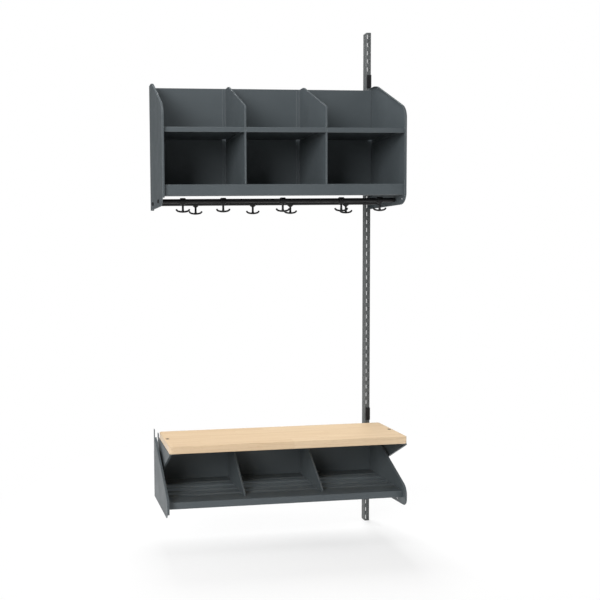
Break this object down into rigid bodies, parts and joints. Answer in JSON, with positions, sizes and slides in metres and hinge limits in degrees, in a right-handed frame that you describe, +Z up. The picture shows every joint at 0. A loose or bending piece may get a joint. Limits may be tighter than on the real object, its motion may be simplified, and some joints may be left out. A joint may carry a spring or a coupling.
{
  "type": "wall-hung cloakroom bench with hat shelf",
  "caption": "Open wall-hung cloakroom section: slotted upright, steel hat shelf with pigeonholes, swivel coat hooks on rails, wooden bench seat and ribbed shoe shelf.",
  "frame": {"origin": "on the wall plane, behind the middle of the upright's foot", "axes": "+X to the right seen from the front, +Y into the wall, +Z up along the upright"},
  "size_m": [0.921, 0.35, 1.984],
  "materials": {
    "slate_coat": "semi-gloss powder coat",
    "upright_coat": "satin powder coat",
    "black_coat": "satin black coat",
    "black_plastic": "matte moulded",
    "beech": "clear satin lacquer on pale beech",
    "zinc": "bright zinc plate"
  },
  "bodies": {
    "section": {"collar_grub_screws": "zinc", "hat_back_panel": "slate_coat", "hat_bottom_shelf": "slate_coat", "hat_divider_left": "slate_coat", "hat_divider_right": "slate_coat", "hat_end_left": "slate_coat", "hat_end_right": "slate_coat", "hat_mid_shelf_centre": "slate_coat", "hat_mid_shelf_left": "slate_coat", "hat_mid_shelf_right": "slate_coat", "hat_rivets": "slate_coat", "hook_collar_1": "black_coat", "hook_collar_2": "black_coat", "hook_collar_3": "black_coat", "hook_collar_4": "black_coat", "hook_collar_5": "black_coat", "hook_collar_6": "black_coat", "hook_collar_7": "black_coat", "hook_collar_8": "black_coat", "hook_collar_9": "black_coat", "hook_rail_front": "black_coat", "hook_rail_rear": "black_coat", "lock_block_lower": "black_plastic", "lock_block_upper": "black_plastic", "rail_bolts": "black_coat", "rail_plugs": "zinc", "seat_board": "beech", "seat_bolts": "black_coat", "seat_bracket_left": "slate_coat", "seat_bracket_right": "slate_coat", "seat_nuts": "zinc", "seat_washers": "zinc", "shoe_back_panel": "slate_coat", "shoe_divider_left": "slate_coat", "shoe_divider_right": "slate_coat", "shoe_end_left": "slate_coat", "shoe_end_right": "slate_coat", "shoe_floor": "slate_coat", "shoe_rivets": "slate_coat", "wall_upright": "upright_coat"},
    "coat_hook_1": {"hook_1": "black_coat"},
    "coat_hook_2": {"hook_2": "black_coat"},
    "coat_hook_3": {"hook_3": "black_coat"},
    "coat_hook_4": {"hook_4": "black_coat"},
    "coat_hook_5": {"hook_5": "black_coat"},
    "coat_hook_6": {"hook_6": "black_coat"},
    "coat_hook_7": {"hook_7": "black_coat"},
    "coat_hook_8": {"hook_8": "black_coat"},
    "coat_hook_9": {"hook_9": "black_coat"}
  },
  "joints": [
    {"name": "hook_1_swivel", "type": "hinge", "parent": "section", "child": "coat_hook_1", "pos_m": [-0.7993, -0.24, 1.285], "axis": [0, 0, 1], "continuous": true},
    {"name": "hook_2_swivel", "type": "hinge", "parent": "section", "child": "coat_hook_2", "pos_m": [-0.7243, -0.102, 1.285], "axis": [0, 0, 1], "continuous": true},
    {"name": "hook_3_swivel", "type": "hinge", "parent": "section", "child": "coat_hook_3", "pos_m": [-0.6493, -0.24, 1.285], "axis": [0, 0, 1], "continuous": true},
    {"name": "hook_4_swivel", "type": "hinge", "parent": "section", "child": "coat_hook_4", "pos_m": [-0.4993, -0.102, 1.285], "axis": [0, 0, 1], "continuous": true},
    {"name": "hook_5_swivel", "type": "hinge", "parent": "section", "child": "coat_hook_5", "pos_m": [-0.4243, -0.24, 1.285], "axis": [0, 0, 1], "continuous": true},
    {"name": "hook_6_swivel", "type": "hinge", "parent": "section", "child": "coat_hook_6", "pos_m": [-0.3493, -0.102, 1.285], "axis": [0, 0, 1], "continuous": true},
    {"name": "hook_7_swivel", "type": "hinge", "parent": "section", "child": "coat_hook_7", "pos_m": [-0.1993, -0.24, 1.285], "axis": [0, 0, 1], "continuous": true},
    {"name": "hook_8_swivel", "type": "hinge", "parent": "section", "child": "coat_hook_8", "pos_m": [-0.1243, -0.102, 1.285], "axis": [0, 0, 1], "continuous": true},
    {"name": "hook_9_swivel", "type": "hinge", "parent": "section", "child": "coat_hook_9", "pos_m": [-0.0493, -0.24, 1.285], "axis": [0, 0, 1], "continuous": true}
  ]
}
